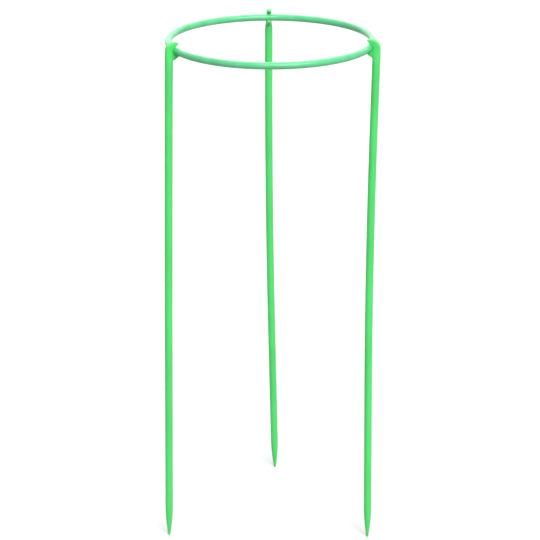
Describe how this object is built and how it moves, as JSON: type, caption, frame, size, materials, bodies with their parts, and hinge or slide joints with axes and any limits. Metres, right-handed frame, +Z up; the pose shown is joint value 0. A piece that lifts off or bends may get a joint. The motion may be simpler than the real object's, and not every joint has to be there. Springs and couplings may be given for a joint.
{
  "type": "plant support ring on stakes",
  "caption": "Round plastic support ring for a plant, held up by pointed round stakes that hook onto it with moulded clips and swing about the ring.",
  "frame": {"origin": "on the ground under the support, at the middle of the space that it takes up", "axes": "+Z up from the points of the stakes to the ring, +X to the right and -Y to the front as the support stands"},
  "size_m": [0.1627, 0.1646, 0.3999],
  "materials": {
    "ring_plastic": "smooth moulded polypropylene, pale green",
    "stake_plastic": "smooth moulded polypropylene, bright green"
  },
  "bodies": {
    "ring": {"support_ring": "ring_plastic"},
    "stake_left": {"left_stake": "stake_plastic"},
    "stake_right": {"right_stake": "stake_plastic"},
    "stake_rear": {"rear_stake": "stake_plastic"}
  },
  "joints": [
    {"name": "left_swing", "type": "hinge", "parent": "ring", "child": "stake_left", "pos_m": [-0.06619, -0.03657, 0.3934], "axis": [-0.4226, 0.9063, 0], "range_deg": [-10, 90]},
    {"name": "right_swing", "type": "hinge", "parent": "ring", "child": "stake_right", "pos_m": [0.07331, -0.02743, 0.3934], "axis": [-0.3007, -0.9537, 0], "range_deg": [-10, 90]},
    {"name": "rear_swing", "type": "hinge", "parent": "ring", "child": "stake_rear", "pos_m": [0.00047, 0.07011, 0.3934], "axis": [0.9998, 0.0175, 0], "range_deg": [-10, 90]}
  ]
}
